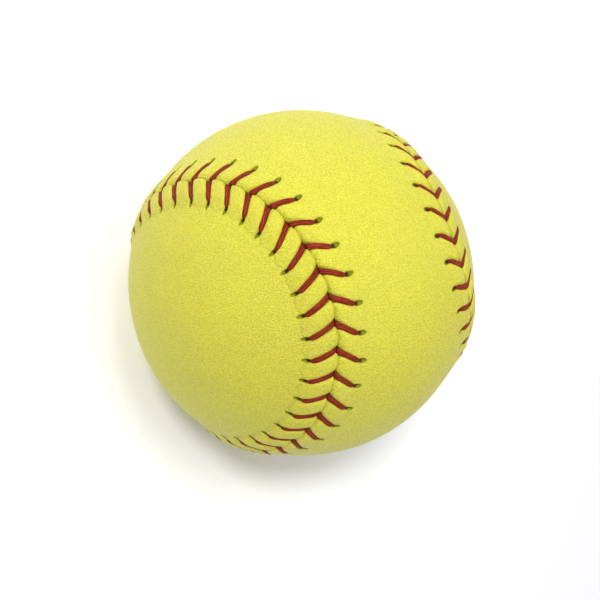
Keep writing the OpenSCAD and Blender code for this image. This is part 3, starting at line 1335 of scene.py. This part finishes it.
    def build(self, effects: Effects) -> bpy.types.Object:
        """Makes the panel, dresses it and lets it stand for its plain solid.

        Args:
            effects: The shared effects.

        Returns:
            The object.
        """
        rows = self.rows()
        last = len(rows.points) - 1
        parts = [rows.band(k) for k in range(last)]
        parts += rows.zipper(0, self.fold_column, True)
        parts += rows.zipper(last, self.fold_column, False)
        order = slice(None) if self.side is Side.A else slice(None, None, -1)
        corners, maps = [], []
        for sides in (4, 3):
            group = [(faces, values) for faces, values in parts if faces.shape[1] == sides]
            corners.append(np.concatenate([faces for faces, _ in group])[:, order])
            maps.append(np.concatenate([values for _, values in group])[:, order])
        made = make_object("leather_" + self.node, np.concatenate(rows.points), corners, maps)
        self.dress(made, effects)
        return settle(made, self.node)


@dataclass
class SeamThread:
    """The waxed thread: two needles' paths in one tube, from tail to tail."""

    plan: StitchPlan
    welts: dict[Side, Welt]
    finish: ThreadFinish
    node: str = "seam_thread"
    slot: str = "thread"
    width: float = 1.36
    thick: float = 0.7
    run_r: float = 47.28
    corners: int = 14
    squareness: float = 2.5
    width_vary: float = 0.06
    bow: float = 0.02
    bow_length: float = 5.9
    probe: float = 0.2
    cross_aside: float = 0.095
    cross_depth: Limits = (-0.1, 0.6)
    cross_reach: float = 1.0
    tail: float = 3.0
    tail_station: float = 0.4
    tail_lie: float = 1.2
    # Each ring of a leg: distance from the seam, height over the leather under the leg,
    # shares of the full width and thickness, and turn of the width towards the seam.
    rings: tuple[tuple[float, float, float, float, float], ...] = (
        (5.26, RUN, 0.66, 0.86, 0.0),
        (5.25, -1.00, 0.66, 0.86, 0.0),
        (5.23, -0.66, 0.68, 0.88, 0.0),
        (5.17, -0.46, 0.74, 0.90, 0.0),
        (5.05, -0.28, 0.80, 0.94, 0.0),
        (4.84, -0.13, 0.88, 0.98, 0.0),
        (4.50, -0.01, 0.96, 1.0, 0.0),
        (4.00, 0.08, 1.02, 1.0, 0.0),
        (3.40, 0.14, 1.04, 1.0, 0.0),
        (2.75, 0.17, 1.03, 1.0, 0.0),
        (2.15, 0.18, 1.01, 1.0, 0.1),
        (1.60, 0.17, 1.02, 1.0, 0.4),
        (1.15, 0.15, 1.08, 1.0, 0.75),
        (0.80, 0.12, 1.14, 0.98, 1.0),
        (0.56, 0.07, 1.17, 0.96, 1.0),
        (0.40, -0.03, 1.16, 0.94, 1.0),
        (0.325, -0.18, 1.12, 0.92, 1.0),
        (0.31, -0.38, 1.02, 0.90, 1.0),
        (0.31, -0.60, 0.90, 0.88, 1.0),
        (0.28, -0.84, 0.78, 0.86, 1.0),
        (0.12, -1.12, 0.72, 0.86, 1.0),
        (0.00, RUN, 0.70, 0.86, 1.0),
    )

    def legs(self, side: Side) -> tuple[np.ndarray, np.ndarray, np.ndarray]:
        """Every leg of one side, from its hole to the seam.

        A ring stands at its distance and height on the leg's own column, which moves aside
        near the seam and further where two threads cross below it, and bows by a seeded
        share of sin(pi distance / length).

        Args:
            side: The panel that the legs lie on.

        Returns:
            Ring centres, directions of the width, and half width and thickness.
        """
        far, over, width_share, thick_share, turned = np.array(self.rings).T
        plan, seam = self.plan, self.plan.seam
        hole = np.arange(1.0, seam.stitches + 1)[:, None] + np.zeros((1, len(far)))
        d = np.broadcast_to(far, hole.shape)
        below = smooth_step(-over, *self.cross_depth) * (d < self.cross_reach)
        q = hole + side.value * (plan.parting(d) + (self.cross_aside - plan.side_by_side) * below)
        bend = np.sin(np.pi * np.clip(d / self.bow_length, 0, 1))
        bow = self.bow * plan.chance("bow_" + side.letter, hole) * bend
        height = self.welts[side].floor_height(d) + over
        radius = np.where(over == RUN, self.run_r, seam.ball_r + height)
        centre = plan.place(q + bow, d, side, radius)
        nearer = plan.place(q, d - self.probe * (d > self.probe), side, radius)
        ahead = plan.place(q, d + self.probe, side, radius) - nearer
        beside = unit(np.cross(unit(centre), ahead))
        along = -side.value * seam.frame_at(q - plan.lean)[1]
        turn = turned[:, None]
        vary = 1 + self.width_vary * plan.chance("width_" + side.letter, hole)
        sizes = np.stack([
            self.width / 2 * width_share * vary,
            self.thick / 2 * thick_share * np.ones_like(vary),
        ], axis=-1)
        return centre, unit(beside * (1 - turn) + along * turn), sizes

    @staticmethod
    def side_of(stitch: int, needle: int) -> Side:
        """The side on which a needle, 1 or -1, sews a stitch."""
        return Side(needle if stitch % 2 == 0 else -needle)

    def tail_end(self, start: np.ndarray, side: Side) -> np.ndarray:
        """Where a cut end lies under the other panel's leather, past the first slot."""
        station, distance = np.array([self.tail_station]), np.array([-side.value * self.tail])
        return self.plan.seam.spot(station, distance, np.array([np.linalg.norm(start)]))[0]

    def route(self) -> tuple[np.ndarray, np.ndarray, np.ndarray, np.ndarray]:
        """The whole thread as rings. After a tail come one needle's legs from the first
        stitch to the last, each from the seam to its hole, then the other needle's back
        again, each from its hole to the seam, and a tail. Needles change sides at each
        stitch.

        Returns:
            Ring centres, width directions, half sizes and the first map value.
        """
        count = self.plan.seam.stitches
        legs = {side: self.legs(side) for side in Side}
        share = np.linspace(0.0, 1.0, len(self.rings))
        first, second = 1, -1
        sewn = [(k, first, -1) for k in range(count)]
        sewn += [(k, second, 1) for k in reversed(range(count))]
        centres, wides, sizes, lies = [], [], [], []
        for k, needle, way in sewn:
            centre, wide, size = (part[k][::way] for part in legs[self.side_of(k, needle)])
            centres.append(centre)
            wides.append(way * wide)
            sizes.append(size)
            lies.append(share[::way])
        for k in range(1, len(wides)):
            if np.dot(wides[k - 1][-1], wides[k][0]) < 0:
                wides[k] = -wides[k]
        start = self.tail_end(centres[0][0], self.side_of(0, first))
        end = self.tail_end(centres[-1][-1], self.side_of(0, second))
        return (
            np.concatenate([start[None], *centres, end[None]]),
            np.concatenate([wides[0][:1], *wides, wides[-1][-1:]]),
            np.concatenate([sizes[0][:1], *sizes, sizes[-1][-1:]]),
            np.concatenate([[self.tail_lie], *lies, [self.tail_lie]]),
        )

    def skin(self, centre: np.ndarray, wide: np.ndarray, size: np.ndarray) -> np.ndarray:
        """The tube's points: at each ring a flattened oval, |x|^n + |y|^n = 1, whose width
        lies across the leg and, by the seam, along the seam. A corner at angle a is
        |cos a|^(2 / n), |sin a|^(2 / n) with their signs.

        Args:
            centre: Ring centres.
            wide: Directions of the width.
            size: Half widths and half thicknesses.

        Returns:
            Points, by ring and corner.
        """
        way = unit(np.diff(centre, axis=0))
        way = unit(np.concatenate([way[:1], way[:-1] + way[1:], way[-1:]]))
        thick = unit(np.cross(way, wide))
        turn = np.arange(self.corners) / self.corners * 2 * np.pi
        x, y = (np.sign(v) * np.abs(v) ** (2 / self.squareness) for v in (np.cos(turn), np.sin(turn)))
        return (
            centre[:, None]
            + wide[:, None] * (size[:, :1] * x)[..., None]
            + thick[:, None] * (size[:, 1:] * y)[..., None]
        )

    def dress(self, made: bpy.types.Object, effects: Effects) -> None:
        """Gives the thread its wax and twist."""
        made.data.materials.append(self.finish.build(effects))

    def build(self, effects: Effects) -> bpy.types.Object:
        """Makes the tube with a fan of triangles at each cut end, dresses it and lets it
        stand for its plain solid.

        Args:
            effects: The shared effects.

        Returns:
            The object.
        """
        centre, wide, size, lie = self.route()
        rings, n = len(centre), self.corners
        row, col = np.meshgrid(np.arange(rings - 1), np.arange(n), indexing="ij")
        around = [(row, col), (row, col + 1), (row + 1, col + 1), (row + 1, col)]
        quads, maps = gather([
            ((r * n + c % n).ravel(), np.stack([lie[r], c / n], axis=-1).reshape(-1, 2))
            for r, c in around])
        last, i = (rings - 1) * n, np.arange(n)
        after = (i + 1) % n
        caps = np.concatenate([
            np.stack([np.full(n, rings * n), after, i], axis=1),
            np.stack([np.full(n, rings * n + 1), last + i, last + after], axis=1),
        ])
        skin = self.skin(centre, wide, size).reshape(-1, 3)
        points = np.concatenate([skin, centre[:1], centre[-1:]])
        cap_maps = np.full((*caps.shape, 2), self.tail_lie)
        made = make_object("sewn_" + self.node, points, [quads, caps], [maps, cap_maps])
        self.dress(made, effects)
        return settle(made, self.node)


@dataclass
class InnerLayers:
    """The solids under the cover, which keep their shape and get their finishes."""

    finishes: dict[str, LayerFinish]

    def dress(self, nodes: dict[str, bpy.types.Object], effects: Effects) -> None:
        """Gives each inner solid its material. Solids with one finish share it.

        Args:
            nodes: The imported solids, by name.
            effects: The shared effects.
        """
        made: dict[str, bpy.types.Material] = {}
        for name, finish in self.finishes.items():
            if finish.name not in made:
                made[finish.name] = finish.build(effects)
            mesh = nodes[name].data
            if mesh.materials:
                mesh.materials[0] = made[finish.name]
            else:
                mesh.materials.append(made[finish.name])
            LOG.info("%s: dressed in %s", name, finish.name)


def stand(thing: bpy.types.Object, axes: tuple[np.ndarray, ...], place: np.ndarray) -> None:
    """Links an object to the scene, turned to three axes at a place.

    Args:
        thing: The lamp or camera.
        axes: Where its own x, y and z axes point.
        place: Its place in metres.
    """
    bpy.context.scene.collection.objects.link(thing)
    matrix = np.eye(4)
    matrix[:3, :3] = np.array(axes).T
    matrix[:3, 3] = place
    thing.matrix_world = Matrix(matrix.tolist())


@dataclass(frozen=True)
class SoftLamp:
    """A large round lamp, aimed at the ball from beside the camera.

    It stands aside to the right and upwards, as shares of the way back to the camera. Its
    size and its distance are in metres.
    """

    name: str
    aside: tuple[float, float]
    power: float
    size: float
    far: float = 0.9

    def build(self, right: np.ndarray, up: np.ndarray, back: np.ndarray) -> None:
        """Makes the lamp.

        Args:
            right: The picture's direction to the right.
            up: The picture's upward direction.
            back: The direction from the ball to the camera.
        """
        data = bpy.data.lights.new(self.name, "AREA")
        data.shape, data.size, data.energy = "DISK", self.size, self.power
        way = unit(back + self.aside[0] * right + self.aside[1] * up)
        across = unit(np.cross(up, way))
        stand(bpy.data.objects.new(self.name, data), (across, np.cross(way, across), way), way * self.far)


@dataclass
class Studio:
    """White floor and surroundings, soft lamps, and the camera at the photograph's place.

    The camera's shift is in pixels of the picture, and the floor's width and the clip
    distances are in metres.
    """

    ball_r: float
    right: tuple[float, float, float] = (0.81105, -0.36033, 0.46082)
    up: tuple[float, float, float] = (0.33318, 0.93205, 0.14238)
    back: tuple[float, float, float] = (-0.48081, 0.03806, 0.876)
    distance: float = 189.15
    lens: float = 39.14
    sensor: float = 36.0
    picture: int = 600
    shift: tuple[float, float] = (-1.0, -17.1)
    clip: Limits = (0.005, 20.0)
    ambient: float = 0.24
    lamps: tuple[SoftLamp, ...] = (
        SoftLamp("key lamp", (0.04, 0.36), power=4.1, size=0.16),
        SoftLamp("side lamp", (0.35, 0.42), power=1.8, size=0.2),
        SoftLamp("right lamp", (0.8, 0.1), power=2.3, size=0.7),
        SoftLamp("top lamp", (0.1, 1.6), power=1.3, size=0.6),
    )
    floor_size: float = 3.0
    floor_colour: Colour = (0.955, 0.955, 0.975, 1.0)
    floor_roughness: float = 0.9
    floor_lift: float = 0.03
    floor_glow: float = 0.16

    def build_camera(self) -> None:
        """Makes the camera and hands it to the scene."""
        data = bpy.data.cameras.new("camera")
        data.sensor_width, data.lens = self.sensor, self.lens
        data.shift_x, data.shift_y = (pixels / self.picture for pixels in self.shift)
        data.clip_start, data.clip_end = self.clip
        camera = bpy.data.objects.new("camera", data)
        stand(camera, (self.right, self.up, self.back), np.array(self.back) * self.distance * MM)
        bpy.context.scene.camera = camera

    def build_lamps(self) -> None:
        """Makes the lamps round the camera."""
        for lamp in self.lamps:
            lamp.build(np.array(self.right), np.array(self.up), np.array(self.back))

    @staticmethod
    def seen(s: Sheet, shown: float, cast: float) -> Socket:
        """A strength for rays that see or mirror a surface, and another for those that
        light by it: seen (shown - cast) + cast.

        Args:
            s: The sheet.
            shown: Strength where it is seen or mirrored.
            cast: Strength as light.

        Returns:
            The strength.
        """
        path = s.add("ShaderNodeLightPath").outputs
        most = s.math("MAXIMUM", path["Is Glossy Ray"], path["Is Transmission Ray"])
        most = s.math("MAXIMUM", path["Is Camera Ray"], most)
        return s.times_plus(most, shown - cast, cast)

    def build_world(self) -> None:
        """Sets even surroundings: white where they are seen or mirrored, softer as light."""
        world = bpy.data.worlds.new("white surroundings")
        world.use_nodes = True
        world.node_tree.nodes.clear()
        s = Sheet(world.node_tree)
        strength = self.seen(s, shown=1.0, cast=self.ambient)
        sky = s.add("ShaderNodeBackground", {"Color": WHITE, "Strength": strength})
        s.add("ShaderNodeOutputWorld", {"Surface": sky.outputs[0]})
        bpy.context.scene.world = world

    def build_floor(self) -> None:
        """Makes the floor, a flat square sheet that touches the ball from below."""
        half, low = self.floor_size / 2, -self.ball_r * MM
        corners = [(-half, -half, low), (half, -half, low), (half, half, low), (-half, half, low)]
        mesh = bpy.data.meshes.new("floor")
        mesh.from_pydata(corners, [], [(0, 1, 2, 3)])
        floor = bpy.data.objects.new("floor", mesh)
        bpy.context.scene.collection.objects.link(floor)
        material, s, shader = new_material("pale floor", self.floor_roughness, specular=0.0)
        s.fill(shader, "Base Color", self.floor_colour)
        s.fill(shader, "Emission Color", WHITE)
        s.fill(shader, "Emission Strength", self.seen(s, self.floor_lift, self.floor_glow))
        mesh.materials.append(material)

    def build(self) -> None:
        """Makes everything round the ball."""
        self.build_camera()
        self.build_lamps()
        self.build_world()
        self.build_floor()
        bpy.context.scene.view_settings.view_transform = "Standard"
        LOG.info("studio: camera, lamps, surroundings and floor")


def report(piece: bpy.types.Object) -> None:
    """Logs a piece and its size in triangles."""
    LOG.info("%s: %d triangles", piece.name, sum(len(p.vertices) - 2 for p in piece.data.polygons))


def main() -> None:
    """Builds the ball's pieces in order."""
    logging.basicConfig(level=logging.INFO, format="%(name)s: %(message)s")
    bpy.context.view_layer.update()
    plan, waves = StitchPlan(Seam()), Waves()
    welts = {
        Side.A: Welt(Side.A, crest=0.82, fall=(0.5, 2.6, 7.6), tail=(0.32, 6.0, 11.5), lip_w=1.6, lip_h=0.62),
        Side.B: Welt(Side.B, crest=0.9, fall=(0.66, 3.4, 7.0), tail=(0.24, 6.0, 11.0), lip_w=0.6, lip_h=0.34),
    }
    effects = Effects(plan, welts[Side.A])
    leather_a = LeatherFinish(
        "optic yellow leather, panel a", colour=linear(245, 239, 72), worn=linear(238, 232, 84),
        shade=linear(188, 182, 30), fold_share=0.3, valley_shade_share=0.62, grain_depth=0.22)
    leather_b = LeatherFinish(
        "optic yellow leather, panel b", colour=linear(235, 229, 64), worn=linear(226, 220, 76),
        shade=linear(180, 174, 26), fold_share=1.0, valley_shade_share=0.52, grain_depth=0.19)
    thread = ThreadFinish(
        colour=linear(163, 50, 28), light=linear(184, 66, 39), dark=linear(66, 12, 7))
    report(CoverPanel(plan, waves, welts[Side.A], leather_a, "cover_panel_a").build(effects))
    report(CoverPanel(plan, waves, welts[Side.B], leather_b, "cover_panel_b").build(effects))
    report(SeamThread(plan, welts, thread).build(effects))
    cement = LayerFinish(
        "rubber cement", linear(206, 172, 88), linear(168, 130, 52),
        roughness=0.3, grain=1.3, depth=0.05, stretch=0.4)
    InnerLayers({
        "core": LayerFinish(
            "cork and rubber", linear(150, 108, 70), linear(70, 48, 36),
            roughness=0.7, grain=2.4, depth=0.25),
        "yarn_winding": LayerFinish(
            "wound yarn", linear(222, 216, 202), linear(168, 158, 140),
            roughness=0.85, grain=1.1, depth=0.3, stretch=0.12),
        "latex_coat": LayerFinish(
            "dried latex", linear(232, 222, 184), linear(206, 190, 138),
            roughness=0.35, grain=1.8, depth=0.06),
        "cover_cement_a": cement,
        "cover_cement_b": cement,
    }).dress(frame["nodes"], effects)
    Studio(plan.seam.ball_r).build()


if __name__ == "__main__":
    main()
